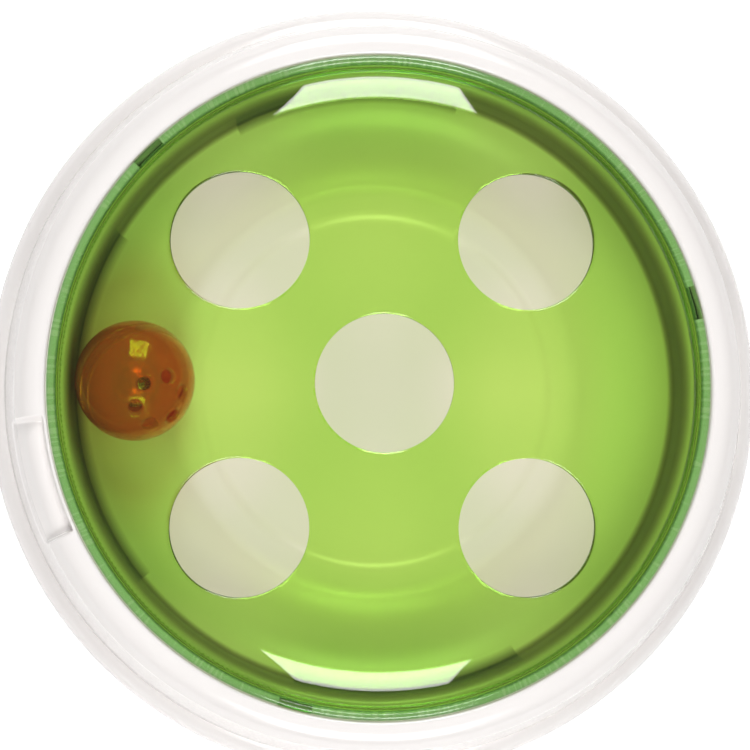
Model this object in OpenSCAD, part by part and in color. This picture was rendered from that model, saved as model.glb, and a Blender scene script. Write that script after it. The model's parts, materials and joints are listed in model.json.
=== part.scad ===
// Domed ball-track puzzle: a round white housing, a clear green dome with five finger holes,
// and a captive jingling ball that is pushed round a grooved tray through the holes.
// Origin: centre of the housing on the ground. +Z is up. Millimetres.

/* [Case] */
// Radius of the base's rounded flange at its widest
flange_r = 131; // [130:0.5:134]
// Height of the parting line between the base and the bezel ring
part_z = 12; // [10:0.5:13]
// Height of the bezel ring's crest
crest_z = 39.5; // [39:0.1:40]
// Wall thickness of the white mouldings
wall = 2.2; // [1.8:0.1:2.4]

/* [Dome] */
// Radius of the dome's rim
rim_r = 109.7; // [109.5:0.05:109.8]
// Height of the dome's top above the ground
dome_z = 57; // [56.8:0.1:58]
// Thickness of the clear dome
dome_t = 2.2; // [1.8:0.1:2.4]
// Radius of the dome's spherical crown
crown_r = 397; // [390:1:400]
// Radius of the rounded shoulder between crown and rim
shoulder_r = 24; // [22:0.5:26]
// Diameter of the five finger holes
hole_d = 45; // [38:1:48]
// Pitch of the four outer finger holes, across and along
hole_pitch = 93.4; // [88:0.2:96]

/* [Bayonet] */
// Direction of the first of the dome's three lugs at rest, in degrees
lug_a = -1; // [-4:1:2]
// Angular width of a lug, in degrees
lug_w = 5; // [4:0.5:8]
// How far the dome turns from locked to unlocked, in degrees
lug_turn = 16; // [14:1:18]

/* [Ball and track] */
// Outer diameter of the ball
ball_d = 40; // [38:0.5:40]
// Radius of the circle that the ball's centre runs on
track_r = 81; // [80:0.5:81]
// Section radius of the track's groove
groove_r = 25; // [24:0.5:26]
// Where the ball stands at rest, in degrees round the track
ball_a = 178.5; // [150:0.5:210]
// Tilt of the ball's pole from upright, in degrees
pole_tilt = 37.2; // [0:0.1:90]
// Direction in which the ball's pole leans, in degrees
pole_turn = -40.9; // [-180:0.1:180]
// Wall thickness of the ball
ball_t = 1.6; // [1.2:0.1:1.8]
// Radius of the six sound holes
sound_r = 2.2; // [1.5:0.1:2.4]

/* [Bell] */
// Outer radius of the bell
bell_r = 7.5; // [6:0.5:8]
// Thickness of the bell's sheet metal
bell_t = 0.5; // [0.4:0.1:0.6]
// Radius of the loose steel pellet
pellet_r = 2.2; // [1.5:0.1:2.4]

/* [Feet and screws] */
// Radius of a foot pad
pad_r = 8; // [6:0.5:9]
// How far a foot pad stands proud of the base
pad_proud = 1.2; // [1:0.1:2]
// Radius of a tray screw's shank, which is also its pilot bore
screw_r = 1.5; // [1.2:0.1:1.7]

/* [Hidden] */
$fn = 96;

// Base
plate_t = 1.8;
plate_top = pad_proud + plate_t;
pad_recess = 0.6;
pad_circle_r = 104;
flange_arc_r = 9.2;
flange_arc = [flange_r - flange_arc_r, pad_proud + wall];
ledge_a = asin((part_z - flange_arc[1]) / flange_arc_r);
ledge_r = flange_arc[0] + flange_arc_r * cos(ledge_a);
collar_z = 22;
boss_circle_r = 112.6;
boss_turn = 30;
boss_r = 3.6;
boss_bore = 16;

// Tray
tray_top = 31.4;
tray_t = 2;
ball_r = ball_d / 2;
ball_z = 25.2;
track_gap = 0.3;
groove_z = ball_z - ball_r - track_gap + groove_r;
ridge_a = 24;
ridge_out_r = 12;
ridge_in_r = 6;
ridge_in_a = 28;
groove_end_a = 52;
wall_mid = [101.6, 25];
tray_lip = [104.4, tray_top];
tray_flange_r = 111;
ear_r = 5.2;
under_r = groove_z - plate_top;

// Bezel ring
bezel_bore = rim_r + 0.3;
shelf_z = 37.2;
shelf_t = 2.8;
shelf_r = 107.3;
foot_r = ledge_r - 0.1;
draft = 11.6;
top_arc_r = 7.4;
top_arc = [bezel_bore + 2.6, crest_z - top_arc_r];
slope_a = 41;
corner_r = 2;
corner = [bezel_bore + 8.55, crest_z - 6.01];
skin_corner = [bezel_bore + 8.1, crest_z - 6.2];
notch_from = 185;
notch_to = 205.5;
notch_deep = 4;
notch_lip_r = bezel_bore + 1.25;

// Dome
crown = [0, dome_z - crown_r];
crown_a = asin(94 / crown_r);
shoulder = crown + (crown_r - shoulder_r) * [sin(crown_a), cos(crown_a)];
shoulder_a = 49;
bead_r = 1.4;
bead = [rim_r - bead_r, shelf_z + bead_r];
skirt_r = 107;
skirt_z = 32;

// Ball and bell
lap_r = 19;
lap_h = 4;
lap_gap = 0.05;
sound_a = 25.4;
sound_turn = 54.5;
sound_bevel = 0.6;
bell_z = ball_z - (ball_r - ball_t) + 0.3 + bell_r;
bell_bead = 0.7;
loop_r = 2.2;
wire_r = 0.6;

// Points along an arc about c, from angle a0 to a1
function arc(c, r, a0, a1, n = 10) =
    [for (i = [0 : n]) c + r * [cos(a0 + (a1 - a0) * i / n), sin(a0 + (a1 - a0) * i / n)]];

// Radius of the bezel's outer wall at height z
function wall_r(z) = foot_r - (z - part_z) * tan(draft);

// Ring sector of a revolved outline, from angle a0 to a1
module sector(a0, a1) {
    rotate([0, 0, a0])
        rotate_extrude(angle = a1 - a0)
            children();
}

// Copies at equal turns about +Z
module around(count, first = 0) {
    for (i = [0 : count - 1])
        rotate([0, 0, first + i * 360 / count])
            children();
}

module base_outline() {
    polygon(concat(
        [[0, pad_proud], [122, pad_proud], [122.2, 9.4]],
        arc(flange_arc, flange_arc_r - wall, 80, 0),
        [[flange_r - wall, pad_proud + 0.8], [flange_r - wall + 0.4, pad_proud]],
        arc([flange_r - 1.2, pad_proud + 1.2], 1.2, -90, 0, 4),
        arc(flange_arc, flange_arc_r, 0, ledge_a),
        [[122.2, part_z], [120.1, collar_z], [118, collar_z], [119.8, part_z], [120, plate_top],
            [0, plate_top]]
    ));
}

module base_shell() {
    color([0.95, 0.94, 0.93])
        difference() {
            union() {
                rotate_extrude() base_outline();
                // support ribs under the tray's ridge and middle
                support_rib(63.5, plate_top, ridge_top() - tray_t);
                support_rib(30, plate_top, floor_z() - tray_t);
                around(6, boss_turn) screw_boss();
            }
            around(6, boss_turn)
                translate([boss_circle_r, 0, tray_top - tray_t - boss_bore])
                    cylinder(r = screw_r, h = boss_bore + 1);
            around(6)
                translate([pad_circle_r, 0, pad_proud - 1])
                    cylinder(r = pad_r + 0.2, h = 1 + pad_recess);
        }
}

module support_rib(r, z0, z1) {
    translate([0, 0, z0])
        difference() {
            cylinder(r = r + 0.8, h = z1 - z0);
            translate([0, 0, -1]) cylinder(r = r - 0.8, h = z1 - z0 + 2);
        }
}

// Tall screw boss with a gusset to the locating collar
module screw_boss() {
    translate([boss_circle_r, 0, plate_top - 0.5])
        cylinder(r = boss_r, h = tray_top - tray_t - plate_top + 0.5);
    translate([boss_circle_r, -0.8, plate_top - 0.5])
        cube([7, 1.6, 17]);
}

module foot_pad(i) {
    color([0.55, 0.55, 0.56])
        rotate([0, 0, 60 * (i - 1)])
            translate([pad_circle_r, 0, 0])
                rotate_extrude()
                    polygon(concat(
                        [[0, 0]],
                        arc([pad_r - 0.5, 0.5], 0.5, -90, 0, 4),
                        [[pad_r, pad_proud + pad_recess], [0, pad_proud + pad_recess]]
                    ));
}

// The groove's tangent point with the ridge, and the heights that follow from it
function ridge_foot() = [track_r, groove_z] - groove_r * [sin(ridge_a), cos(ridge_a)];
function ridge_arc() = ridge_foot() - ridge_out_r * [sin(ridge_a), cos(ridge_a)];
function ridge_top() = ridge_arc()[1] + ridge_out_r;
function ridge_in() = [62.1, ridge_top() - ridge_in_r];
function floor_z() = ridge_top() - 2 * ridge_in_r * (1 - cos(ridge_in_a));
function floor_arc() = ridge_in() + 2 * ridge_in_r * [-sin(ridge_in_a), cos(ridge_in_a)];

module tray_outline() {
    polygon(concat(
        [[0, floor_z()]],
        arc(floor_arc(), ridge_in_r, 270, 270 + ridge_in_a, 5),
        arc(ridge_in(), ridge_in_r, 90 + ridge_in_a, 90, 5),
        arc(ridge_arc(), ridge_out_r, 90, 90 - ridge_a, 6),
        arc([track_r, groove_z], groove_r, 270 - ridge_a, 270 + groove_end_a, 16),
        [wall_mid, [102.7, 29.6], tray_lip],
        [[tray_flange_r, tray_top], [tray_flange_r, tray_top - tray_t]],
        [[105.2, tray_top - tray_t], wall_mid + [tray_t + 0.1, 0]],
        arc([track_r, groove_z], under_r, 270 + groove_end_a, 270 - ridge_a, 16),
        arc(ridge_arc(), ridge_out_r - tray_t, 90 - ridge_a, 90, 6),
        arc(ridge_in(), ridge_in_r - tray_t, 90, 90 + ridge_in_a, 5),
        arc(floor_arc(), ridge_in_r + tray_t, 270 + ridge_in_a, 270, 5),
        [[0, floor_z() - tray_t]]
    ));
}

module floor_tray() {
    color([0.93, 0.92, 0.86])
        difference() {
            union() {
                rotate_extrude() tray_outline();
                around(6, boss_turn)
                    translate([boss_circle_r, 0, tray_top - tray_t])
                        cylinder(r = ear_r, h = tray_t);
            }
            around(6, boss_turn)
                translate([boss_circle_r, 0, tray_top - tray_t - 1])
                    cylinder(r = screw_r + 0.2, h = tray_t + 2);
        }
}

// Pan-head screw with a cross recess
module tray_screw() {
    head_r = 2.8;
    head_h = 2;
    translate([boss_circle_r, 0, tray_top])
        difference() {
            union() {
                rotate_extrude()
                    polygon(concat(
                        [[0, 0], [head_r, 0]],
                        arc([head_r - 1.4, head_h - 1.4], 1.4, 0, 90, 5),
                        [[0, head_h]]
                    ));
                translate([0, 0, -14]) cylinder(r = screw_r, h = 14.5);
            }
            for (turn = [0, 90])
                rotate([0, 0, turn])
                    translate([-1.5, -0.35, head_h - 1]) cube([3, 0.7, 2]);
        }
}

module tray_screws() {
    color([0.7, 0.7, 0.72])
        around(6, boss_turn) tray_screw();
}

// Bezel ring: crowned top, drafted wall, and a collar whose shelf carries the dome
module bezel_outline() {
    polygon(concat(
        [[bezel_bore, shelf_z]],
        arc([bezel_bore + 1.4, crest_z - 1.4], 1.4, 180, 90, 6),
        arc(top_arc, top_arc_r, 90, slope_a),
        arc(corner, corner_r, slope_a, draft, 6),
        [[foot_r, part_z], [foot_r - wall - 0.2, part_z], skin_corner],
        arc(top_arc, top_arc_r - wall - 0.2, slope_a, 90),
        [[bezel_bore + 2.4, shelf_z - shelf_t], [shelf_r, shelf_z - shelf_t], [shelf_r, shelf_z]]
    ));
}

// Solid fill under the ring's skin, down to the underside of the finger notch's floor
module notch_fill_outline() {
    low = [0, -notch_deep];
    polygon(concat(
        [[bezel_bore + 1.2, shelf_z - shelf_t + 0.6]],
        arc(top_arc, top_arc_r - 1, 90, slope_a),
        [skin_corner + [0.8, 0], [wall_r(26) - 1, 26], [wall_r(26.5) - wall - 0.1, 26.5]],
        arc(top_arc + low, top_arc_r - wall - 0.2, slope_a, 88),
        [[bezel_bore + 2.2, shelf_z - shelf_t + 0.3]]
    ));
}

// What the finger notch takes away: all above its floor, outward from the lip beside the dome
module notch_cut_outline() {
    low = [0, -notch_deep];
    edge_z = crest_z - 9.5;
    polygon(concat(
        [[notch_lip_r, crest_z + 1], [notch_lip_r, top_arc[1] + low[1] + top_arc_r]],
        arc(top_arc + low, top_arc_r, 90, slope_a),
        [[wall_r(edge_z) - 0.7, edge_z + 0.4], [wall_r(edge_z) - 0.2, edge_z - 0.2],
            [wall_r(edge_z) + 3, edge_z - 0.5], [wall_r(edge_z) + 3, crest_z + 1]]
    ));
}

module bezel_ring() {
    end_w = 1.2;
    color([0.97, 0.96, 0.95])
        difference() {
            union() {
                rotate_extrude() bezel_outline();
                sector(notch_from - end_w, notch_to + end_w) notch_fill_outline();
                // stops at both ends of the dome's turn
                around(3, lug_a) {
                    lug_stop(-lug_w / 2 - 2, -lug_w / 2 - 0.4);
                    lug_stop(lug_turn + lug_w / 2 + 0.6, lug_turn + lug_w / 2 + 2.2);
                }
            }
            sector(notch_from, notch_to) notch_cut_outline();
            // gaps in the shelf that let the lugs out
            around(3, lug_a)
                sector(lug_turn - lug_w / 2 - 0.5, lug_turn + lug_w / 2 + 0.5)
                    translate([shelf_r - 1, shelf_z - shelf_t - 1])
                        square([bezel_bore - shelf_r + 1.2, shelf_t + 1.5]);
        }
}

module lug_stop(a0, a1) {
    sector(a0, a1)
        translate([shelf_r + 0.2, skirt_z]) square([4.6, shelf_z - shelf_t - skirt_z + 0.5]);
}

module dome_outline() {
    polygon(concat(
        arc(crown, crown_r, 90, 90 - crown_a, 24),
        arc(shoulder, shoulder_r, 90 - crown_a, 90 - shoulder_a, 12),
        arc(bead, bead_r, 165, 0, 8),
        [[rim_r, shelf_z], [skirt_r, shelf_z], [skirt_r, skirt_z], [skirt_r - dome_t, skirt_z]],
        arc(shoulder, shoulder_r - dome_t, 90 - shoulder_a, 90 - crown_a, 12),
        arc(crown, crown_r - dome_t, 90 - crown_a, 90, 24)
    ));
}

module dome() {
    color([0.45, 0.75, 0.2, 0.55])
        difference() {
            union() {
                rotate_extrude() dome_outline();
                around(3, lug_a)
                    sector(-lug_w / 2, lug_w / 2)
                        translate([skirt_r - 0.5, skirt_z + 0.2])
                            square([rim_r - skirt_r + 0.5, shelf_z - shelf_t - skirt_z - 0.5]);
            }
            finger_hole([0, 0]);
            for (x = [-1, 1], y = [-1, 1])
                finger_hole([x, y] * hole_pitch / 2);
        }
}

module finger_hole(at) {
    translate([at[0], at[1], dome_z - 25]) cylinder(d = hole_d, h = 50);
}

// Puts a shape drawn about the ball's centre, with its pole up, where the ball lies
module at_ball() {
    rotate([0, 0, ball_a])
        translate([track_r, 0, ball_z])
            rotate([0, 0, -ball_a])
                rotate([0, pole_tilt, pole_turn])
                    children();
}

// Closed half without holes; its tongue reaches into the other half
module ball_half_a() {
    inner_r = ball_r - ball_t;
    tongue_a = asin(lap_h / inner_r);
    color([0.85, 0.4, 0.05, 0.7])
        at_ball()
            rotate_extrude()
                polygon(concat(
                    arc([0, 0], ball_r, -90, 0, 24),
                    [[lap_r, 0], [lap_r, lap_h]],
                    arc([0, 0], inner_r, tongue_a, -90, 28)
                ));
}

// Half with the ring of six sound holes round its pole
module ball_half_b() {
    inner_r = ball_r - ball_t;
    socket_h = lap_h + lap_gap;
    socket_r = lap_r + lap_gap;
    color([0.85, 0.4, 0.05, 0.7])
        at_ball()
            difference() {
                rotate_extrude()
                    polygon(concat(
                        [[socket_r, lap_gap]],
                        arc([0, 0], ball_r, asin(lap_gap / ball_r), 90, 24),
                        arc([0, 0], inner_r, 90, asin(socket_h / inner_r), 20),
                        [[socket_r, socket_h]]
                    ));
                around(6, sound_turn)
                    rotate([0, sound_a, 0]) sound_hole();
            }
}

// Cutter for one sound hole, countersunk at the ball's surface
module sound_hole() {
    rotate_extrude()
        polygon([
            [0, ball_r - 4], [sound_r, ball_r - 4], [sound_r, ball_r - sound_bevel],
            [sound_r + sound_bevel + 0.6, ball_r + 0.6], [0, ball_r + 0.6]
        ]);
}

module at_bell() {
    rotate([0, 0, ball_a])
        translate([track_r, 0, bell_z])
            children();
}

// Rim bead of a cup, on the side of the middle plane that z0 starts from
module bell_cup_outline(a0, a1, z0) {
    difference() {
        union() {
            intersection() {
                circle(r = bell_r);
                translate([0, min(a0, a1) < 0 ? -bell_r : 0]) square([bell_r, bell_r]);
            }
            translate([bell_r - 1, z0]) square([1 + bell_bead, bell_t]);
        }
        circle(r = bell_r - bell_t);
        translate([-2 * bell_r, -2 * bell_r]) square([2 * bell_r, 4 * bell_r]);
    }
}

module bell_cup_upper() {
    color([0.8, 0.78, 0.7])
        at_bell()
            rotate_extrude() bell_cup_outline(0, 90, 0);
}

module bell_cup_lower() {
    slot_w = 1.2;
    color([0.8, 0.78, 0.7])
        at_bell()
            difference() {
                rotate_extrude() bell_cup_outline(-90, 0, -bell_t);
                for (turn = [0, 90])
                    rotate([0, 0, turn]) {
                        translate([-5, -slot_w / 2, -bell_r - 1]) cube([10, slot_w, bell_r]);
                        for (x = [-5, 5])
                            translate([x, 0, -bell_r - 1]) cylinder(r = slot_w, h = bell_r);
                    }
            }
}

module bell_loop() {
    color([0.8, 0.78, 0.7])
        at_bell()
            translate([0, 0, bell_r - bell_t + 0.1])
                rotate([90, 0, 0])
                    rotate_extrude(angle = 180)
                        translate([loop_r, 0]) circle(r = wire_r);
}

module bell_pellet() {
    color([0.7, 0.7, 0.72])
        at_bell()
            translate([0, 0, -bell_r + bell_t + pellet_r + 0.1])
                sphere(r = pellet_r);
}

base_shell();
floor_tray();
tray_screws();
bezel_ring();
dome();
ball_half_a();
ball_half_b();
bell_cup_upper();
bell_cup_lower();
bell_loop();
bell_pellet();
foot_pad(1);  // foot_pad_1
foot_pad(2);  // foot_pad_2
foot_pad(3);  // foot_pad_3
foot_pad(4);  // foot_pad_4
foot_pad(5);  // foot_pad_5
foot_pad(6);  // foot_pad_6
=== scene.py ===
"""The looks of a domed ball-track puzzle: a white housing, a clear green dome with five finger
holes, a cream track tray and a clear orange jingle ball. Sizes are in millimetres until a mesh is
made, and in metres from there on."""

import json
import math

import bmesh
import bpy
from mathutils import Matrix, Vector
from mathutils.geometry import delaunay_2d_cdt


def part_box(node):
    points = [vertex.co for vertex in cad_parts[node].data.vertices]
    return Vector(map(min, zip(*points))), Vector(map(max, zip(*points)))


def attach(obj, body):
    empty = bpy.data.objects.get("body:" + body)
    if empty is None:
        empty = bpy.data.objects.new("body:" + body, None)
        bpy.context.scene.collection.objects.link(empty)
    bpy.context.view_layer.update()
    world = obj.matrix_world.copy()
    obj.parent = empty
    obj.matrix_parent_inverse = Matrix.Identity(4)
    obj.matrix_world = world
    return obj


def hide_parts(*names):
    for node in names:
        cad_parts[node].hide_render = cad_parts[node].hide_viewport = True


MM = 0.001

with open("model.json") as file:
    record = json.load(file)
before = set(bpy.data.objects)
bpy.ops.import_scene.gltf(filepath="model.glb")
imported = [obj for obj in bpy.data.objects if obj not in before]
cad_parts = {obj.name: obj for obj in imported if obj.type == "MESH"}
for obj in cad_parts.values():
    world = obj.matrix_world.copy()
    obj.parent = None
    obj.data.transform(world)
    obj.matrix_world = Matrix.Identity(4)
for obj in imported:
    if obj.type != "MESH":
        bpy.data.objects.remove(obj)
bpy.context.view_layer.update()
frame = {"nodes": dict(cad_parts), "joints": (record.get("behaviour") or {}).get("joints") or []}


# ---------------------------------------------------------------- sizes, from the frame
def corner_mm(node, high):
    """One corner of a CAD node's box, in millimetres."""
    low_corner, high_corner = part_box(node)
    return (high_corner if high else low_corner) / MM


def joint(name):
    """The frame's entry for a joint."""
    return next(j for j in frame["joints"] if j["name"] == name)


# In these names _R is a radius, _Z a height, _T a thickness, _A an angle in degrees, _W a width in
# degrees and _ARC the centre of a section's arc. Sizes that the frame doesn't give follow the CAD.

# Case
FLANGE_R = corner_mm("base_shell", True).x
PLATE_Z = corner_mm("base_shell", False).z
COLLAR_Z = 22.0         # top of the collar inside the bezel ring's foot
PART_Z = corner_mm("bezel_ring", False).z
CREST_Z = corner_mm("bezel_ring", True).z
WALL = 2.2
PLATE_TOP = PLATE_Z + 1.8
FLANGE_ARC_R = 9.2
FLANGE_ARC = (FLANGE_R - FLANGE_ARC_R, PLATE_Z + WALL)
# where the flange's arc ends at the ledge, and the bezel ring's foot just inside that end
LEDGE_A = math.degrees(math.asin((PART_Z - FLANGE_ARC[1]) / FLANGE_ARC_R))
FOOT_R = FLANGE_ARC[0] + FLANGE_ARC_R * math.cos(math.radians(LEDGE_A)) - 0.1

# Dome
RIM_R = corner_mm("dome", True).x
DOME_Z = CREST_Z + 17.5
DOME_T = 2.2
SKIRT_Z = corner_mm("dome", False).z
SKIRT_R = RIM_R - 2.7
SHELF_Z = SKIRT_Z + 5.2
SHELF_T = 2.8
SHELF_R = 107.3
CROWN_R = 397.0
CROWN_END_R = 94.0      # where the crown meets the shoulder
SHOULDER_R = 24.0
SHOULDER_A = 49.0       # slope where the shoulder ends in the groove
BEAD_R = 1.4
HOLE_R = 22.5
HOLE_EDGE = 0.7         # rounding along the edges of the holes
HOLE_PITCH = 93.4
LUG_A = -1.0            # direction of the first lug at rest
LUG_W = 5.0
LUG_TURN = joint("dome_turn")["range_deg"][1]

# Bezel ring
BORE = RIM_R + 0.3
DRAFT = 11.6            # lean of the outer wall, in degrees
TOP_ARC_R = 7.4
TOP_ARC = (BORE + 2.6, CREST_Z - TOP_ARC_R)
SLOPE_A = 41.0          # direction in which the crest's arc ends and the corner's arc starts
CORNER = (BORE + 8.55, CREST_Z - 6.01)
CORNER_R = 2.0
NOTCH_FROM = 185.0      # directions of the finger notch's two ends
NOTCH_TO = 205.5
NOTCH_DEEP = 4.0

# Tray
TRAY_TOP = 31.4
TRAY_T = 2.0
TRACK_R = 81.0          # circle that the ball's middle runs on
GROOVE_R = 25.0         # section of the ball's groove
RIDGE_A = 24.0          # slope where the ridge meets the groove
RIDGE_OUT_R = 12.0      # sections of the ridge's outer and inner side
RIDGE_IN_R = 6.0
RIDGE_IN_A = 28.0       # steepest slope of the inner side
RIDGE_IN_AT = 62.1      # radius at which the inner side's arc has its centre
GROOVE_END_A = 52.0     # slope where the groove meets the outer wall
TRAY_FLANGE_R = 111.0
EAR_R = 5.2             # rounding of the ears that the screws hold
BOSS_CIRCLE_R = 112.6
BOSS_TURN = 30
BOSS_R = 3.6
PILOT_R = 1.55
PILOT_Z = 14.0

# Ball
BALL_AT = Vector(joint("ball_roll")["pos_m"]) / MM
BALL_R = 20.0
BALL_T = 1.6
POLE_TILT = 37.2        # lean of the pole from upright, and the direction it leans in
POLE_TURN = -40.9
SOUND_R = 2.2
SOUND_A = 25.4          # from the pole to the middle of a sound hole
SOUND_TURN = 54.5       # turn of the first sound hole about the pole
SOUND_BEVEL = 0.6
LAP_R = 19.0            # radius and height of the lap joint
LAP_H = 4.0
GROOVE_Z = BALL_AT.z - BALL_R - 0.3 + GROOVE_R

# Feet
PAD_R = 8.0
PAD_CIRCLE_R = 104.0
PAD_RECESS = 0.6


# ---------------------------------------------------------------- mesh helpers
def arc(centre, r, a0, a1, n):
    """Points along an arc, from angle a0 to a1 in degrees."""
    points = []
    for i in range(n + 1):
        a = math.radians(a0 + (a1 - a0) * i / n)
        points.append((centre[0] + r * math.cos(a), centre[1] + r * math.sin(a)))
    return points


def line(a, b, n):
    """n points after a, the last of them b."""
    return [(a[0] + (b[0] - a[0]) * i / n, a[1] + (b[1] - a[1]) * i / n) for i in range(1, n + 1)]


def smoothstep(x):
    """Rises smoothly from 0 to 1 as x goes from 0 to 1."""
    x = min(max(x, 0.0), 1.0)
    return x * x * (3 - 2 * x)


def angle_list(count, extra=()):
    """Even angles round a circle plus some extra ones, sorted and without near doubles."""
    angles = sorted([i * 360 / count for i in range(count)] + [a % 360 for a in extra])
    kept = []
    for a in angles:
        if not kept or a - kept[-1] > 1e-4:
            kept.append(a)
    return kept


def around(angle, r, z):
    """The point at an angle in degrees, a radius and a height."""
    a = math.radians(angle)
    return Vector((r * math.cos(a), r * math.sin(a), z))


def sweep(bm, profile_at, angles, closed=True):
    """Adds a profile, given for each angle, swept round +Z. Returns the rings of vertices."""
    rings = [[bm.verts.new(around(a, *p)) for p in profile_at(a)] for a in angles]
    for i, ring in enumerate(rings):
        after = rings[(i + 1) % len(rings)]
        for j in range(len(ring) if closed else len(ring) - 1):
            k = (j + 1) % len(ring)
            bm.faces.new((ring[j], after[j], after[k], ring[k]))
    return rings


def tube_box(bm, a0, a1, r0, r1, z0, z1, steps=4):
    """Adds a block bent round +Z, between two angles, radii and heights."""
    corners = ((r0, z0), (r1, z0), (r1, z1), (r0, z1))
    rings = []
    for i in range(steps + 1):
        a = a0 + (a1 - a0) * i / steps
        rings.append([bm.verts.new(around(a, *c)) for c in corners])
    for one, other in zip(rings, rings[1:]):
        for j in range(4):
            k = (j + 1) % 4
            bm.faces.new((one[j], other[j], other[k], one[k]))
    bm.faces.new(rings[0][::-1])
    bm.faces.new(rings[-1])


def post(bm, at, r, z0, z1, bore, bore_z):
    """Adds an upright post, with a blind bore in its top."""
    start = len(bm.verts)
    edge = 0.3
    profile = [(0, z0), (r, z0), (r, z1 - edge), (r - edge, z1), (bore, z1), (bore, bore_z),
               (0, bore_z)]
    sweep(bm, lambda a: profile, angle_list(32), closed=False)
    bm.verts.ensure_lookup_table()
    for v in bm.verts[start:]:
        v.co += Vector((at[0], at[1], 0))


def piece(bm, name, material, sharp=35.0, at=None):
    """Turns a bmesh in millimetres into a smooth-shaded object in metres."""
    bmesh.ops.remove_doubles(bm, verts=bm.verts, dist=2e-4)
    bmesh.ops.dissolve_degenerate(bm, dist=1e-5, edges=bm.edges)
    bmesh.ops.recalc_face_normals(bm, faces=bm.faces)
    if at is not None:
        bmesh.ops.transform(bm, matrix=at, verts=bm.verts)
    bmesh.ops.scale(bm, vec=(MM, MM, MM), verts=bm.verts)
    mesh = bpy.data.meshes.new(name)
    bm.to_mesh(mesh)
    bm.free()
    for face in mesh.polygons:
        face.use_smooth = True
    mesh.set_sharp_from_angle(angle=math.radians(sharp))
    mesh.materials.append(material)
    ob = bpy.data.objects.new(name, mesh)
    bpy.context.scene.collection.objects.link(ob)
    return ob


def pierced_sheet(bm, to_space, boundary, holes, inner, in_hole):
    """Adds a triangulated sheet, laid out in a plane, with a ring of points round its edge and
    round each hole. to_space takes a point of the plane into space, and in_hole tells whether a
    point is in a hole. Returns the edge's vertices and each hole's."""
    flat, edges = [], []
    for ring in [boundary] + holes:
        first = len(flat)
        flat += [Vector(p) for p in ring]
        edges += [(first + i, first + (i + 1) % len(ring)) for i in range(len(ring))]
    flat += [Vector(p) for p in inner]
    out, _, faces, origin, _, _ = delaunay_2d_cdt(flat, edges, [], 0, 1e-7)
    made = {}
    verts = []
    for p, sources in zip(out, origin):
        v = bm.verts.new(to_space(p))
        verts.append(v)
        for s in sources:
            made[s] = v
    for face in faces:
        middle = sum((out[i] for i in face), Vector((0, 0))) / len(face)
        if not in_hole(middle):
            bm.faces.new([verts[i] for i in face])
    rings, first = [], 0
    for ring in [boundary] + holes:
        rings.append([made[first + i] for i in range(len(ring))])
        first += len(ring)
    return rings[0], rings[1:]


def join_rings(bm, rings):
    """Adds the walls between rings of vertices that each have the same number."""
    for one, other in zip(rings, rings[1:]):
        for i in range(len(one)):
            k = (i + 1) % len(one)
            bm.faces.new((one[i], one[k], other[k], other[i]))


# ---------------------------------------------------------------- materials
PLASTIC_IOR = 1.52
CLEAR_IOR = 1.49


def new_material(name):
    """A new material, with its nodes, its links and its main shader."""
    material = bpy.data.materials.new(name)
    material.use_nodes = True
    nodes = material.node_tree.nodes
    return material, nodes, material.node_tree.links, nodes["Principled BSDF"]


def coordinates(nodes, kind):
    """A socket with a point or a direction of the object, such as Object or Normal."""
    return nodes.new("ShaderNodeTexCoord").outputs[kind]


def noise(nodes, links, scale, detail=3.0):
    """A socket with a noise of a number of features to the metre."""
    tex = nodes.new("ShaderNodeTexNoise")
    tex.inputs["Scale"].default_value = scale
    tex.inputs["Detail"].default_value = detail
    links.new(coordinates(nodes, "Object"), tex.inputs["Vector"])
    return tex.outputs["Fac"]


def ranged(nodes, links, source, low, high):
    """A socket that runs from low to high as source goes from 0.3 to 0.7."""
    node = nodes.new("ShaderNodeMapRange")
    node.inputs["From Min"].default_value = 0.3
    node.inputs["From Max"].default_value = 0.7
    node.inputs["To Min"].default_value = low
    node.inputs["To Max"].default_value = high
    links.new(source, node.inputs["Value"])
    return node.outputs["Result"]


def tinted(nodes, links, source, dark, light):
    """A colour socket between two colours."""
    node = nodes.new("ShaderNodeMix")
    node.data_type = "RGBA"
    node.inputs["A"].default_value = (*dark, 1)
    node.inputs["B"].default_value = (*light, 1)
    links.new(source, node.inputs["Factor"])
    return node.outputs["Result"]


def bump(nodes, links, height, strength, distance):
    """A normal socket that follows a height, over a distance in metres."""
    node = nodes.new("ShaderNodeBump")
    node.inputs["Strength"].default_value = strength
    node.inputs["Distance"].default_value = distance
    links.new(height, node.inputs["Height"])
    return node.outputs["Normal"]


def moulded_plastic(name, dark, light, rough):
    """Opaque moulded plastic: slight mottling, uneven gloss and a fine moulded surface."""
    material, nodes, links, shader = new_material(name)
    broad = noise(nodes, links, 18.0)
    fine = noise(nodes, links, 900.0, 2.0)
    links.new(tinted(nodes, links, broad, dark, light), shader.inputs["Base Color"])
    links.new(ranged(nodes, links, fine, rough[0], rough[1]), shader.inputs["Roughness"])
    links.new(bump(nodes, links, fine, 0.10, 0.00002), shader.inputs["Normal"])
    shader.inputs["IOR"].default_value = PLASTIC_IOR
    return material


def from_axis(nodes, links, operation):
    """A vector node whose input is the level vector away from the object's Z axis."""
    level = nodes.new("ShaderNodeVectorMath")
    level.operation = "MULTIPLY"
    level.inputs[1].default_value = (1, 1, 0)
    links.new(coordinates(nodes, "Object"), level.inputs[0])
    node = nodes.new("ShaderNodeVectorMath")
    node.operation = operation
    links.new(level.outputs["Vector"], node.inputs[0])
    return node


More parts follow.
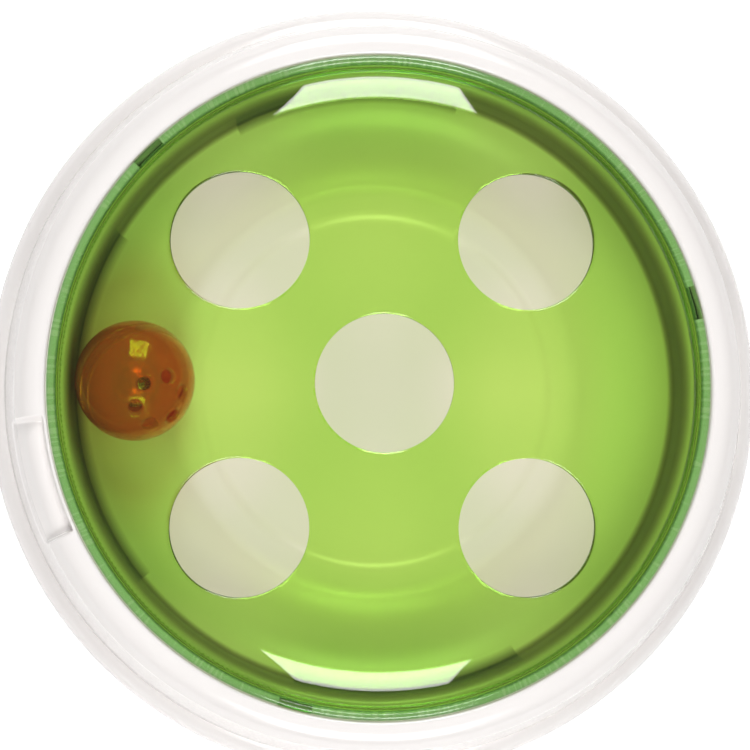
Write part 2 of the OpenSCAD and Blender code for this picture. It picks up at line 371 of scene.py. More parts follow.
def radial_tint(nodes, links, stops):
    """A colour socket that follows the distance from the object's Z axis, in millimetres."""
    distance = from_axis(nodes, links, "LENGTH").outputs["Value"]
    reach = nodes.new("ShaderNodeMapRange")
    reach.inputs["From Min"].default_value = stops[0][0] * MM
    reach.inputs["From Max"].default_value = stops[-1][0] * MM
    links.new(distance, reach.inputs["Value"])
    ramp = nodes.new("ShaderNodeValToRGB")
    span = stops[-1][0] - stops[0][0]
    for i, (r, colour) in enumerate(stops):
        at = (r - stops[0][0]) / span
        stop = ramp.color_ramp.elements[i] if i < 2 else ramp.color_ramp.elements.new(at)
        stop.position = at
        stop.color = (*colour, 1)
    links.new(reach.outputs["Result"], ramp.inputs["Fac"])
    return ramp.outputs["Color"]


def clear_plastic(name, tint, shade, rough, cloud=0.0, gleam=(1, 1, 1)):
    """Clear tinted plastic. Light that falls through it on other pieces goes straight on, in the
    colour shade. Tint and shade are each a colour, or a list of colours at distances from the
    middle. Cloud is the share that scatters as an opaque plastic does, gleam tints reflections."""
    material, nodes, links, shader = new_material(name)
    fine = noise(nodes, links, 60.0, 2.0)
    if isinstance(tint, list):
        links.new(radial_tint(nodes, links, tint), shader.inputs["Base Color"])
    else:
        shader.inputs["Base Color"].default_value = (*tint, 1)
    shader.inputs["Transmission Weight"].default_value = 1.0 - cloud
    shader.inputs["IOR"].default_value = CLEAR_IOR
    shader.inputs["Specular Tint"].default_value = (*gleam, 1)
    links.new(ranged(nodes, links, fine, rough[0], rough[1]), shader.inputs["Roughness"])
    through = nodes.new("ShaderNodeBsdfTransparent")
    if isinstance(shade, list):
        links.new(radial_tint(nodes, links, shade), through.inputs["Color"])
    else:
        through.inputs["Color"].default_value = (*shade, 1)
    path = nodes.new("ShaderNodeLightPath")
    either = nodes.new("ShaderNodeMath")
    either.operation = "MAXIMUM"
    links.new(path.outputs["Is Shadow Ray"], either.inputs[0])
    links.new(path.outputs["Is Diffuse Ray"], either.inputs[1])
    mix = nodes.new("ShaderNodeMixShader")
    links.new(either.outputs[0], mix.inputs["Fac"])
    links.new(shader.outputs["BSDF"], mix.inputs[1])
    links.new(through.outputs["BSDF"], mix.inputs[2])
    links.new(mix.outputs["Shader"], nodes["Material Output"].inputs["Surface"])
    return material


def leans_past(nodes, links, one, other, least):
    """A socket that is 1 where the dot product of two directions is over a number, and else 0."""
    along = nodes.new("ShaderNodeVectorMath")
    along.operation = "DOT_PRODUCT"
    links.new(one, along.inputs[0])
    if isinstance(other, Vector):
        along.inputs[1].default_value = other
    else:
        links.new(other, along.inputs[1])
    over = nodes.new("ShaderNodeMath")
    over.operation = "GREATER_THAN"
    over.inputs[1].default_value = least
    links.new(along.outputs["Value"], over.inputs[0])
    return over.outputs["Value"]


def mixed(nodes, links, one, other):
    """A colour mixing node between two colour sockets."""
    node = nodes.new("ShaderNodeMix")
    node.data_type = "RGBA"
    links.new(one, node.inputs["A"])
    links.new(other, node.inputs["B"])
    return node


def chosen(nodes, links, factor, one, other):
    """A colour socket: one where factor is 0, other where it is 1."""
    node = mixed(nodes, links, one, other)
    links.new(factor, node.inputs["Factor"])
    return node.outputs["Result"]


def multiplied(nodes, links, one, other):
    """A colour socket with the product of two colours."""
    node = mixed(nodes, links, one, other)
    node.blend_type = "MULTIPLY"
    node.inputs["Factor"].default_value = 1.0
    return node.outputs["Result"]


def tray_plastic():
    """The tray's cream plastic. The inner face of its outer wall has painted shade, darkest low on
    the wall and lighter towards its top, and near-black painted shadow along three stretches, both
    by the distance from the middle."""
    material, nodes, links, shader = new_material("cream_plastic")
    broad = noise(nodes, links, 18.0)
    cream = tinted(nodes, links, broad, (0.86, 0.75, 0.66), (0.90, 0.79, 0.70))
    # painted shade down the outer wall's inner face, replaced by near-black painted shadow along
    # three stretches; outward faces keep plain cream
    shade = radial_tint(nodes, links, WALL_PAINTED_SHADE)
    painted_shadow = radial_tint(nodes, links, PAINTED_SHADOW_TINT)
    out = from_axis(nodes, links, "NORMALIZE").outputs["Vector"]
    for middle, half in PAINTED_SHADOW_STRETCHES:
        along = leans_past(nodes, links, out, around(middle, 1.0, 0.0),
                           math.cos(math.radians(half)))
        shade = chosen(nodes, links, along, shade, painted_shadow)
    outer_face = leans_past(nodes, links, out, coordinates(nodes, "Normal"), 0.02)
    shaded = multiplied(nodes, links, cream, shade)
    links.new(chosen(nodes, links, outer_face, shaded, cream), shader.inputs["Base Color"])
    links.new(ranged(nodes, links, broad, 0.29, 0.37), shader.inputs["Roughness"])
    shader.inputs["IOR"].default_value = PLASTIC_IOR
    return material


def metal(name, dark, light, rough):
    """Bare or plated metal: slightly uneven colour, with a fine grain in its gloss."""
    material, nodes, links, shader = new_material(name)
    broad = noise(nodes, links, 240.0)
    fine = noise(nodes, links, 2600.0, 2.0)
    links.new(tinted(nodes, links, broad, dark, light), shader.inputs["Base Color"])
    links.new(ranged(nodes, links, fine, rough[0], rough[1]), shader.inputs["Roughness"])
    links.new(bump(nodes, links, fine, 0.15, 0.00002), shader.inputs["Normal"])
    shader.inputs["Metallic"].default_value = 1.0
    return material


def pad_rubber():
    """Matte grey rubber with a fine grain."""
    material, nodes, links, shader = new_material("pad_rubber")
    fine = noise(nodes, links, 1400.0, 4.0)
    broad = noise(nodes, links, 120.0)
    links.new(tinted(nodes, links, broad, (0.10, 0.10, 0.105), (0.15, 0.15, 0.155)),
              shader.inputs["Base Color"])
    links.new(ranged(nodes, links, fine, 0.55, 0.8), shader.inputs["Roughness"])
    links.new(bump(nodes, links, fine, 0.5, 0.00006), shader.inputs["Normal"])
    return material


# painted shade and painted shadow: colours at distances from the tray's middle, in millimetres,
# that multiply the tray's cream, darkest low on the outer wall and lighter towards its top
WALL_PAINTED_SHADE = [(99.5, (1, 1, 1)), (100.9, (0.32, 0.28, 0.26)), (101.3, (0.17, 0.14, 0.13)),
             (101.9, (0.17, 0.14, 0.13)), (102.6, (0.34, 0.30, 0.28)),
             (104.4, (0.90, 0.88, 0.86))]
PAINTED_SHADOW_TINT = [(97.5, (1, 1, 1)), (100.7, (0.25, 0.23, 0.21)), (101.1, (0.01, 0.01, 0.01)),
              (101.7, (0.01, 0.01, 0.01)), (102.2, (0.20, 0.18, 0.16)),
              (104.4, (0.90, 0.88, 0.86))]
# the middle and half the width of each stretch of near-black painted shadow, in degrees
PAINTED_SHADOW_STRETCHES = ((184, 35), (96, 22), (276, 22))

# the dome's colours at distances from its middle: deeper in the shoulder, partly for the longer
# path through the plastic and partly as painted shade; the dark groove and the bead's dark outer
# edge are painted shade
GREEN_TINT_AND_PAINTED_SHADE = [(58.0, (0.63, 0.97, 0.225)), (84.0, (0.57, 0.945, 0.21)),
              (93.5, (0.50, 0.86, 0.18)), (106.2, (0.50, 0.86, 0.19)), (106.6, (0.10, 0.30, 0.07)),
              (107.15, (0.10, 0.30, 0.08)), (107.4, (0.36, 0.75, 0.28)),
              (108.9, (0.38, 0.74, 0.32)), (109.7, (0.16, 0.36, 0.18))]
# and what it does to the light that falls through it
GREEN_SHADE = [(90.0, (0.80, 0.89, 0.74)), (98.0, (0.74, 0.81, 0.66)),
               (101.0, (0.72, 0.78, 0.62)), (109.7, (0.72, 0.78, 0.62))]

WHITE = moulded_plastic("white_plastic", (0.875, 0.84, 0.82), (0.915, 0.88, 0.86), (0.16, 0.25))
CREAM = tray_plastic()
GREEN = clear_plastic("green_clear", GREEN_TINT_AND_PAINTED_SHADE, GREEN_SHADE, (0.015, 0.04))
ORANGE = clear_plastic("orange_clear", (1.0, 0.23, 0.095), (0.84, 0.51, 0.36), (0.07, 0.13),
                       0.27, (1.0, 0.72, 0.30))
BELL = metal("bell_metal", (0.60, 0.52, 0.36), (0.72, 0.65, 0.48), (0.18, 0.32))
STEEL = metal("screw_steel", (0.50, 0.50, 0.52), (0.66, 0.66, 0.68), (0.22, 0.38))
RUBBER = pad_rubber()


# ---------------------------------------------------------------- dome
def crown_centre():
    """Radius and height of the centre of the dome's crown."""
    return (0.0, DOME_Z - CROWN_R)


def crown_tilt():
    """The dome's slope where its crown meets its shoulder, in degrees."""
    return math.degrees(math.asin(CROWN_END_R / CROWN_R))


def shoulder_centre():
    """Radius and height of the centre of the shoulder's arc."""
    t = math.radians(crown_tilt())
    c = crown_centre()
    reach = CROWN_R - SHOULDER_R
    return (c[0] + reach * math.sin(t), c[1] + reach * math.cos(t))


def dome_height(r, inset):
    """Height of the dome's surface at radius r, inset by a wall thickness or by 0."""
    s = shoulder_centre()
    crown_r, shoulder_r = CROWN_R - inset, SHOULDER_R - inset
    joint_r = s[0] + shoulder_r * math.sin(math.radians(crown_tilt()))
    if r <= joint_r:
        return crown_centre()[1] + math.sqrt(crown_r ** 2 - r ** 2)
    return s[1] + math.sqrt(shoulder_r ** 2 - (r - s[0]) ** 2)


def hole_centres():
    """The middles of the five finger holes."""
    half = HOLE_PITCH / 2
    return [(0.0, 0.0)] + [(x, y) for x in (-half, half) for y in (-half, half)]


def build_dome():
    """The clear cover: two triangulated faces, the hole walls between them, and the rim."""
    bm = bmesh.new()
    lug_half = LUG_W / 2
    # two angles close together on each side of a lug keep its ends upright
    lug_edges = [LUG_A + i * 120 + s * (lug_half + d)
                 for i in range(3) for s in (-1, 1) for d in (-0.08, 0.08)]
    angles = angle_list(720, lug_edges)
    hole_steps = 120
    centres = hole_centres()

    def sheet(inset, end_r, edge):
        """One face of the dome out to end_r; its holes are wider than HOLE_R by edge."""
        ring_r = HOLE_R + edge

        def to_space(p):
            return Vector((p.x, p.y, dome_height(p.length, inset)))

        def in_hole(p):
            return any(math.dist(p, c) < ring_r - 0.05 for c in centres)

        holes = []
        inner = []
        for c in centres:
            holes.append([(c[0] + ring_r * math.cos(i * math.tau / hole_steps),
                           c[1] + ring_r * math.sin(i * math.tau / hole_steps))
                          for i in range(hole_steps)])
            for more in (1.0, 2.4):
                inner += [(c[0] + (ring_r + more) * math.cos((i + 0.5) * math.tau / hole_steps),
                           c[1] + (ring_r + more) * math.sin((i + 0.5) * math.tau / hole_steps))
                          for i in range(hole_steps)]
        # points inside the sheet, closer together on the shoulder
        radii = [2.4 * i for i in range(1, 38)]
        radii += [r for r in (92.0 + 0.9 * i for i in range(20)) if r < end_r - 0.5]
        for n, r in enumerate(radii):
            count = max(24, int(math.tau * r / 2.5)) if r < 91 else 360
            for i in range(count):
                a = (i + 0.5 * (n % 2)) * math.tau / count
                p = (r * math.cos(a), r * math.sin(a))
                if all(math.dist(p, c) > ring_r + 3.6 for c in centres):
                    inner.append(p)
        boundary = [around(a, end_r, 0).to_2d() for a in angles]
        return pierced_sheet(bm, to_space, boundary, holes, inner, in_hole)

    s = shoulder_centre()
    outer_end = s[0] + SHOULDER_R * math.sin(math.radians(SHOULDER_A))
    inner_end = s[0] + (SHOULDER_R - DOME_T) * math.sin(math.radians(SHOULDER_A))
    outer_edge, outer_holes = sheet(0.0, outer_end, HOLE_EDGE)
    inner_edge, inner_holes = sheet(DOME_T, inner_end, HOLE_EDGE)

    # hole walls, with a rounded edge above and below
    for c, top_ring, low_ring in zip(centres, outer_holes, inner_holes):
        walls = [top_ring]
        rounding = 5
        for side, ring in ((1, top_ring), (-1, low_ring)):
            made = []
            for k in range(1, rounding + 1):
                a = math.radians(90 * k / rounding)
                r = HOLE_R + HOLE_EDGE * (1 - math.sin(a))
                drop = HOLE_EDGE * (1 - math.cos(a)) * side
                level = []
                for v in ring:
                    out = (v.co.to_2d() - Vector(c)).normalized()
                    level.append(bm.verts.new((c[0] + out.x * r, c[1] + out.y * r,
                                               v.co.z - drop)))
                made.append(level)
            walls += made if side == 1 else made[::-1]
        walls.append(low_ring)
        join_rings(bm, walls)

    # groove, rim bead, seat, skirt and lugs
    bead = (RIM_R - BEAD_R, SHELF_Z + BEAD_R)
    lug_top = SHELF_Z - SHELF_T - 0.3
    lug_low = SKIRT_Z + 0.2

    def rim(angle):
        """The rim's outline from the groove round the bead and down to the skirt's inside."""
        off = abs((angle - LUG_A + 60) % 120 - 60)
        lug_r = RIM_R if off < lug_half else SKIRT_R + 0.02
        return ([(bead[0] - BEAD_R - 0.15, bead[1] - 0.6)]
                + arc(bead, BEAD_R, 190, 20, 14)
                + [(RIM_R, bead[1] - 0.4), (RIM_R, SHELF_Z + 0.3), (RIM_R - 0.3, SHELF_Z),
                   (SKIRT_R + 0.3, SHELF_Z), (SKIRT_R, SHELF_Z - 0.3), (SKIRT_R, lug_top),
                   (lug_r, lug_top), (lug_r, lug_low), (SKIRT_R, lug_low),
                   (SKIRT_R - 0.3, SKIRT_Z), (SKIRT_R - DOME_T + 0.3, SKIRT_Z),
                   (SKIRT_R - DOME_T, SKIRT_Z + 0.3)])

    rings = sweep(bm, rim, angles, closed=False)
    join_rings(bm, [outer_edge, [ring[0] for ring in rings]])
    join_rings(bm, [[ring[-1] for ring in rings], inner_edge])
    return piece(bm, "dome_shell", GREEN, sharp=40.0)


dome = build_dome()
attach(dome, "cover")
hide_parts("dome")


# ---------------------------------------------------------------- bezel ring
def wall_r(z):
    """Radius of the bezel's outer wall at height z."""
    return FOOT_R - (z - PART_Z) * math.tan(math.radians(DRAFT))


def build_bezel():
    """The white ring round the dome, with its finger notch, shelf and stops."""
    bm = bmesh.new()
    skin = WALL + 0.2
    skin_corner = (BORE + 8.1, CREST_Z - 6.2)
    ease = 0.35
    start_w, end_w = 1.15, 0.55     # angular widths of the notch's two end slopes

    def outline(low):
        """The ring's closed outline, or with low > 0 its outline in the finger notch."""
        top = (TOP_ARC[0], TOP_ARC[1] - low)
        corner = (CORNER[0], CORNER[1] - low)
        if low:
            lip = arc((BORE + 0.62, CREST_Z - 0.62), 0.62, 180, 0, 10)
            lip += line(lip[-1], (BORE + 1.25, CREST_Z - low + 0.6), 2)
            lip += arc((BORE + 1.85, CREST_Z - low + 0.6), 0.6, 180, 270, 4)[1:]
            wall = line((wall_r(29.4) - 0.5, 29.7), (wall_r(29.0), 28.9), 2)
        else:
            lip = arc((BORE + 1.4, CREST_Z - 1.4), 1.4, 180, 90, 10)
            lip += line(lip[-1], (BORE + 2.2, CREST_Z), 6)
            wall = line((wall_r(33.0), 33.0), (wall_r(29.0), 29.0), 2)
        outside = arc(top, TOP_ARC_R, 90, SLOPE_A, 16) + arc(corner, CORNER_R, SLOPE_A, DRAFT, 8)
        foot = (line(wall[-1], (FOOT_R, PART_Z + ease), 4)
                + [(FOOT_R - 0.08, PART_Z + 0.1), (FOOT_R - ease, PART_Z), (FOOT_R - skin, PART_Z)])
        under = [(wall_r(27) - skin, 27), (skin_corner[0], skin_corner[1] - low * 0.9)]
        under += arc(top, TOP_ARC_R - skin, SLOPE_A, 90, 8)
        return lip + outside + wall + foot + under + [(BORE + 2.4, SHELF_Z - SHELF_T)]

    full, sunk = outline(0.0), outline(NOTCH_DEEP)
    gap_half = LUG_W / 2 + 0.5

    def profile(angle):
        """The ring's outline at an angle, between its full and its notched form."""
        into = smoothstep((angle - NOTCH_FROM) / start_w)
        out = smoothstep((NOTCH_TO - angle) / end_w)
        w = min(into, out)
        off = abs((angle - LUG_A - LUG_TURN + 60) % 120 - 60)
        shelf_r = BORE - 0.02 if off < gap_half else SHELF_R
        points = [(a[0] * (1 - w) + b[0] * w, a[1] * (1 - w) + b[1] * w)
                  for a, b in zip(full, sunk)]
        return points + [(shelf_r, SHELF_Z - SHELF_T), (shelf_r, SHELF_Z), (BORE, SHELF_Z)]

    fine = [NOTCH_FROM + start_w * i / 12 for i in range(13)]
    fine += [NOTCH_TO - end_w * i / 12 for i in range(13)]
    gaps = [LUG_A + LUG_TURN + i * 120 + s * (gap_half + d)
            for i in range(3) for s in (-1, 1) for d in (-0.05, 0.05)]
    sweep(bm, profile, angle_list(360, fine + gaps))
    for i in range(3):
        middle = LUG_A + 120 * i
        for a0, a1 in ((-LUG_W / 2 - 2, -LUG_W / 2 - 0.4),
                       (LUG_TURN + LUG_W / 2 + 0.6, LUG_TURN + LUG_W / 2 + 2.2)):
            tube_box(bm, middle + a0, middle + a1, SHELF_R + 0.2, SHELF_R + 4.8,
                     SKIRT_Z, SHELF_Z - SHELF_T + 0.3)
    return piece(bm, "bezel", WHITE, sharp=50.0)


bezel = build_bezel()
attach(bezel, "bezel")
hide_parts("bezel_ring")


# ---------------------------------------------------------------- base and tray
def ridge_arc():
    """Centre of the ridge's outer arc, which meets the groove's arc."""
    a = math.radians(RIDGE_A)
    reach = GROOVE_R + RIDGE_OUT_R
    return (TRACK_R - reach * math.sin(a), GROOVE_Z - reach * math.cos(a))


def ridge_top():
    """Height of the ridge inside the groove."""
    return ridge_arc()[1] + RIDGE_OUT_R


def floor_z():
    """Height of the tray's flat middle."""
    return ridge_top() - 2 * RIDGE_IN_R * (1 - math.cos(math.radians(RIDGE_IN_A)))


def floor_arc():
    """Centre of the arc between the ridge and the tray's flat middle."""
    a = math.radians(RIDGE_IN_A)
    return (RIDGE_IN_AT - 2 * RIDGE_IN_R * math.sin(a),
            ridge_top() - RIDGE_IN_R + 2 * RIDGE_IN_R * math.cos(a))


def build_tray():
    """The ball's track, with its flange and screw ears."""
    bm = bmesh.new()
    inner = (RIDGE_IN_AT, ridge_top() - RIDGE_IN_R)
    groove = (TRACK_R, GROOVE_Z)
    under_r = GROOVE_Z - PLATE_TOP
    edge = 0.4

    def outer_r(angle):
        """Radius of the tray's flange, with its six screw ears."""
        off = math.radians((angle - BOSS_TURN + 30) % 60 - 30)
        side = BOSS_CIRCLE_R * math.sin(off)
        if abs(side) >= EAR_R:
            return TRAY_FLANGE_R
        ear = BOSS_CIRCLE_R * math.cos(off) + math.sqrt(EAR_R ** 2 - side ** 2)
        return max(TRAY_FLANGE_R, ear)

    def profile(angle):
        """The tray's outline at an angle: its upper face, its edge and its underside."""
        r = outer_r(angle)
        top = [(0, floor_z()), (20, floor_z()), (40, floor_z())]
        top += arc(floor_arc(), RIDGE_IN_R, 270, 270 + RIDGE_IN_A, 12)
        top += arc(inner, RIDGE_IN_R, 90 + RIDGE_IN_A, 90, 12)
        top += arc(ridge_arc(), RIDGE_OUT_R, 90, 90 - RIDGE_A, 14)
        top += arc(groove, GROOVE_R, 270 - RIDGE_A, 270 + GROOVE_END_A, 48)[1:]
        # the steep outer wall, which flares into the flange
        top += [(101.35, 16.6), (101.6, 20), (101.75, 25), (102.1, 27.6), (102.8, 29.6),
                (103.6, 30.8), (104.4, TRAY_TOP)]
        rim = [(r - edge, TRAY_TOP), (r, TRAY_TOP - edge), (r, TRAY_TOP - TRAY_T)]
        low = [(105.2, TRAY_TOP - TRAY_T), (103.7, 25)]
        low += arc(groove, under_r, 270 + GROOVE_END_A, 270 - RIDGE_A, 24)
        low += arc(ridge_arc(), RIDGE_OUT_R - TRAY_T, 90 - RIDGE_A, 90, 8)
        low += arc(inner, RIDGE_IN_R - TRAY_T, 90, 90 + RIDGE_IN_A, 8)
        low += arc(floor_arc(), RIDGE_IN_R + TRAY_T, 270 + RIDGE_IN_A, 270, 8)
        return top + rim + low + [(0, floor_z() - TRAY_T)]

    # angles across each ear, closest together at its ends
    half_ear = math.degrees(math.asin(EAR_R / BOSS_CIRCLE_R))
    ears = [BOSS_TURN + 60 * i + half_ear * math.sin(math.radians(k * 9)) * 0.999
            for i in range(6) for k in range(-10, 11)]
    sweep(bm, profile, angle_list(240, ears), closed=False)
    return piece(bm, "track_tray", CREAM, sharp=40.0)


def build_base():
    """The lower housing, with its collar, six screw bosses and two support ribs."""
    bm = bmesh.new()
    edge = 0.3
    plate_r = 122.0
    collar_r = 118.0
    rib_half = 0.8
    sunk_z = PLATE_TOP - 0.4    # bosses, gussets and ribs start inside the plate
    profile = [(0, PLATE_Z), (60, PLATE_Z), (plate_r - edge, PLATE_Z), (plate_r, PLATE_Z + edge),
               (plate_r + 0.2, 9.4)]
    profile += arc(FLANGE_ARC, FLANGE_ARC_R - WALL, 80, 0, 20)
    profile += [(FLANGE_R - WALL, PLATE_Z + 0.8), (FLANGE_R - WALL + 0.4, PLATE_Z)]
    profile += arc((FLANGE_R - 1.2, PLATE_Z + 1.2), 1.2, -90, 0, 8)
    profile += arc(FLANGE_ARC, FLANGE_ARC_R, 0, LEDGE_A - 3, 30)[1:]
    profile += [(FOOT_R - 0.05, PART_Z - 0.08), (FOOT_R - 0.45, PART_Z), (plate_r + 0.3, PART_Z),
                (plate_r + 0.15, PART_Z + edge), (collar_r + 2.3, COLLAR_Z - edge),
                (collar_r + 1.9, COLLAR_Z), (collar_r + 0.3, COLLAR_Z),
                (collar_r, COLLAR_Z - edge), (collar_r + 1.8, PART_Z), (collar_r + 2, PLATE_TOP),
                (0, PLATE_TOP)]
    sweep(bm, lambda a: profile, angle_list(360), closed=False)
    for i in range(6):
        turn = BOSS_TURN + 60 * i
        a = math.radians(turn)
        at = (BOSS_CIRCLE_R * math.cos(a), BOSS_CIRCLE_R * math.sin(a))
        post(bm, at, BOSS_R, sunk_z, TRAY_TOP - TRAY_T, PILOT_R, PILOT_Z)
        gusset = math.degrees(0.8 / BOSS_CIRCLE_R)
        tube_box(bm, turn - gusset, turn + gusset, BOSS_CIRCLE_R + 2.5, collar_r + 1.5,
                 sunk_z, PLATE_TOP + 16, steps=1)
    for r, top in ((63.5, ridge_top() - TRAY_T), (30.0, floor_z() - TRAY_T)):
        rib = [(r - rib_half, sunk_z), (r + rib_half, sunk_z), (r + rib_half, top),
               (r - rib_half, top)]
        sweep(bm, lambda a, rib=rib: rib, angle_list(96))
    return piece(bm, "housing", WHITE, sharp=50.0)


tray = build_tray()
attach(tray, "base")
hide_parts("floor_tray")

base = build_base()
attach(base, "base")
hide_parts("base_shell")


def build_pad(number):
    """Non-slip pad with a rounded edge and three fine grip rings."""
    bm = bmesh.new()
    top = PLATE_Z + PAD_RECESS
    profile = [(0, 0)]
    for r in (2.0, 4.0, 6.0):
        profile += [(r - 0.35, 0), (r - 0.2, 0.22), (r + 0.2, 0.22), (r + 0.35, 0)]
    profile += arc((PAD_R - 0.5, 0.5), 0.5, -90, 0, 6) + [(PAD_R, top), (0, top)]
    sweep(bm, lambda a: profile, angle_list(64), closed=False)
    a = math.radians(60 * (number - 1))
    place = Matrix.Translation((PAD_CIRCLE_R * math.cos(a), PAD_CIRCLE_R * math.sin(a), 0))
    return piece(bm, f"grip_pad_{number}", RUBBER, sharp=40.0, at=place)


for number in range(1, 7):
    pad = build_pad(number)
    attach(pad, "base")
    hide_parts(f"foot_pad_{number}")


# ---------------------------------------------------------------- ball
BALL_PLACE = (Matrix.Translation(BALL_AT)
              @ Matrix.Rotation(math.radians(POLE_TURN), 4, "Z")
              @ Matrix.Rotation(math.radians(POLE_TILT), 4, "Y"))


def build_ball_a():
    """The closed half, whose tongue reaches into the other."""
    bm = bmesh.new()
    inner_r = BALL_R - BALL_T
    tongue = math.degrees(math.asin(LAP_H / inner_r))
    edge = 0.12
    profile = arc((0, 0), BALL_R, -90, -0.5, 48)
    profile += [(BALL_R - edge, 0), (LAP_R, 0), (LAP_R, LAP_H - edge), (LAP_R - edge, LAP_H)]
    profile += arc((0, 0), inner_r, tongue, -90, 52)
    sweep(bm, lambda a: profile, angle_list(128), closed=False)
    return piece(bm, "ball_shell_a", ORANGE, sharp=40.0, at=BALL_PLACE)


def build_ball_b():
    """The half with six countersunk sound holes round its pole."""
    bm = bmesh.new()
    inner_r = BALL_R - BALL_T
    steps = 128
    hole_steps = 32
    gap = 0.05
    holes = [Matrix.Rotation(math.radians(SOUND_TURN + 60 * i), 4, "Z")
             @ Matrix.Rotation(math.radians(SOUND_A), 4, "Y") for i in range(6)]

    def to_plane(v):
        """The ball's surface is laid out by angle from the pole, in degrees."""
        return Vector((v.x, v.y)).normalized() * math.degrees(v.angle(Vector((0, 0, 1))))

    def ring(place, shell_r, r):
        """Points of a sphere at distance r from a hole's axis."""
        z = math.sqrt(shell_r ** 2 - r ** 2)
        return [place @ Vector((r * math.cos(i * math.tau / hole_steps),
                                r * math.sin(i * math.tau / hole_steps), z))
                for i in range(hole_steps)]

    def sheet(shell_r, end_a, hole_r):
        """One face of the shell, from the pole out to an angle in degrees."""
        clear = math.degrees(math.asin(hole_r / shell_r))
        centres = [to_plane(place @ Vector((0, 0, 1))) for place in holes]

        def to_space(p):
            a = math.radians(p.length)
            out = p.normalized() if p.length else Vector((1, 0))
            return shell_r * Vector((math.sin(a) * out.x, math.sin(a) * out.y, math.cos(a)))

        def in_hole(p):
            return any((p - c).length < clear * 0.97 for c in centres)

        boundary = [around(360 * i / steps, end_a, 0).to_2d() for i in range(steps)]
        rings = [[to_plane(v) for v in ring(place, shell_r, hole_r)] for place in holes]
        inner = [(0.0, 0.0)]
        for n in range(1, 44):
            r = 2.0 * n
            if r > end_a - 1.0:
                break
            count = max(8, min(steps, int(math.tau * r / 2.2)))
            for i in range(count):
                a = (i + 0.5 * (n % 2)) * math.tau / count
                p = Vector((r * math.cos(a), r * math.sin(a)))
                if all((p - c).length > clear + 1.6 for c in centres):
                    inner.append(p)
        return pierced_sheet(bm, to_space, boundary, rings, inner, in_hole)

    outer_a = 90 - math.degrees(math.asin((gap + 0.12) / BALL_R))
    inner_a = 90 - math.degrees(math.asin((LAP_H + gap) / inner_r))
    outer_edge, outer_holes = sheet(BALL_R, outer_a, SOUND_R + SOUND_BEVEL)
    inner_edge, inner_holes = sheet(inner_r, inner_a, SOUND_R + 0.15)
    for place, top, low in zip(holes, outer_holes, inner_holes):
        levels = [top]
        for r, z in ((SOUND_R + 0.15, BALL_R - SOUND_BEVEL - 0.05), (SOUND_R, BALL_R - 0.9),
                     (SOUND_R, inner_r)):
            levels.append([bm.verts.new(place @ Vector((r * math.cos(i * math.tau / hole_steps),
                                                        r * math.sin(i * math.tau / hole_steps),
                                                        z))) for i in range(hole_steps)])
        join_rings(bm, levels + [low])
    lap = [(BALL_R - 0.12, gap), (LAP_R + gap, gap), (LAP_R + gap, LAP_H + gap)]
    rings = sweep(bm, lambda a: lap, [360 * i / steps for i in range(steps)], closed=False)
    join_rings(bm, [outer_edge, [r[0] for r in rings]])
    join_rings(bm, [[r[-1] for r in rings], inner_edge])
    return piece(bm, "ball_shell_b", ORANGE, sharp=40.0, at=BALL_PLACE)


for build, node in ((build_ball_a, "ball_half_a"), (build_ball_b, "ball_half_b")):
    shell = build()
    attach(shell, "ball")
    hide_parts(node)


# ---------------------------------------------------------------- carried-over CAD nodes
def dress(node, material):
    """Gives a CAD node a material and leaves its mesh as it is."""
    mesh = frame["nodes"][node].data
    mesh.materials.clear()
    mesh.materials.append(material)
    for face in mesh.polygons:
        face.material_index = 0


for node in ("bell_cup_upper", "bell_cup_lower", "bell_loop"):
    dress(node, BELL)
for node in ("tray_screws", "bell_pellet"):
    dress(node, STEEL)


# ---------------------------------------------------------------- stage, light and camera
def build_floor():
    """A wide white floor just under the pads."""
    bpy.ops.mesh.primitive_plane_add(size=6.0, location=(0, 0, -0.0002))
    floor = bpy.context.object
    floor.name = "floor"
    material, nodes, links, shader = new_material("pale_floor")
    fine = noise(nodes, links, 40.0)
    links.new(tinted(nodes, links, fine, (0.93, 0.93, 0.93), (0.95, 0.95, 0.95)),
              shader.inputs["Base Color"])
    shader.inputs["Roughness"].default_value = 0.9
    shader.inputs["Emission Color"].default_value = (1, 1, 1, 1)
    shader.inputs["Emission Strength"].default_value = 0.25
    floor.data.materials.append(material)


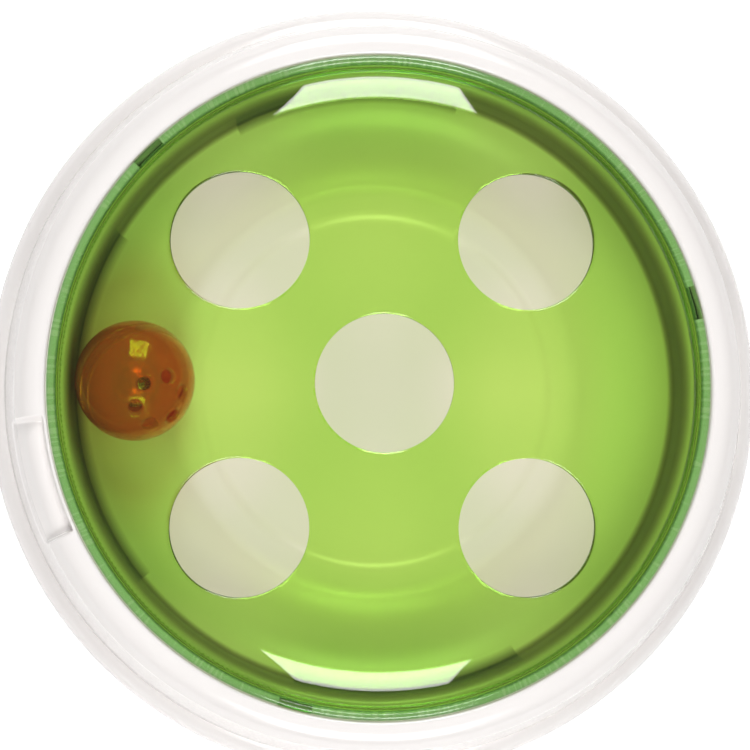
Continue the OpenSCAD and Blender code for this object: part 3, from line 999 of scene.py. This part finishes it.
def area_light(name, polar, azimuth, distance, size, power, mirrored=False):
    """A rectangular light at an angle from upright and a direction, facing the dome. It is seen
    either only in reflections, as a photographer's softbox is, or only in what it lights."""
    p, a = math.radians(polar), math.radians(azimuth)
    target = Vector((0, 0, SHELF_Z * MM))
    at = target + distance * Vector((math.sin(p) * math.cos(a), math.sin(p) * math.sin(a),
                                     math.cos(p)))
    data = bpy.data.lights.new(name, "AREA")
    data.shape = "RECTANGLE"
    data.size, data.size_y = size
    data.energy = power
    lamp = bpy.data.objects.new(name, data)
    lamp.location = at
    lamp.rotation_euler = (target - at).to_track_quat("-Z", "Y").to_euler()
    lamp.visible_glossy = mirrored
    lamp.visible_transmission = mirrored
    lamp.visible_diffuse = not mirrored
    bpy.context.scene.collection.objects.link(lamp)


build_floor()
area_light("softbox_back", 62, 86.5, 1.2, (0.61, 0.78), 17, mirrored=True)
area_light("softbox_front", 48.5, 272, 1.2, (0.60, 0.60), 11.5, mirrored=True)
area_light("key_back", 45, 90, 1.2, (0.50, 0.50), 8.1)
area_light("key_front", 45, 270, 1.2, (0.50, 0.50), 8.1)
area_light("fill_top", 4, 220, 1.6, (1.0, 1.0), 5.5)

world = bpy.data.worlds.new("studio")
bpy.context.scene.world = world
world.use_nodes = True
world.node_tree.nodes["Background"].inputs["Color"].default_value = (0.16, 0.158, 0.156, 1)
world.node_tree.nodes["Background"].inputs["Strength"].default_value = 1.0

scene = bpy.context.scene
scene.view_settings.view_transform = "Standard"
scene.view_settings.look = "None"
scene.cycles.caustics_refractive = False
scene.cycles.caustics_reflective = False
scene.cycles.max_bounces = 16
scene.cycles.transmission_bounces = 14
scene.cycles.transparent_max_bounces = 24
scene.cycles.sample_clamp_indirect = 6.0

CAMERA_TILT = 5.0       # from straight above, and the side it leans to, in degrees
CAMERA_TURN = 220.7
CAMERA_DISTANCE = 0.9
CAMERA_LENS = 131.1
AIM = Vector((-1.95, 3.6, 38.0)) * MM
tilt, turn = math.radians(CAMERA_TILT), math.radians(CAMERA_TURN)
back = Vector((math.sin(tilt) * math.cos(turn), math.sin(tilt) * math.sin(turn), math.cos(tilt)))
right = Vector((0, 1, 0)).cross(back).normalized()
up = back.cross(right)
camera_data = bpy.data.cameras.new("camera")
camera_data.lens = CAMERA_LENS
camera_data.sensor_width = 36.0
camera = bpy.data.objects.new("camera", camera_data)
scene.collection.objects.link(camera)
placing = Matrix((right, up, back)).transposed().to_4x4()
placing.translation = AIM + CAMERA_DISTANCE * back
camera.matrix_world = placing
scene.camera = camera
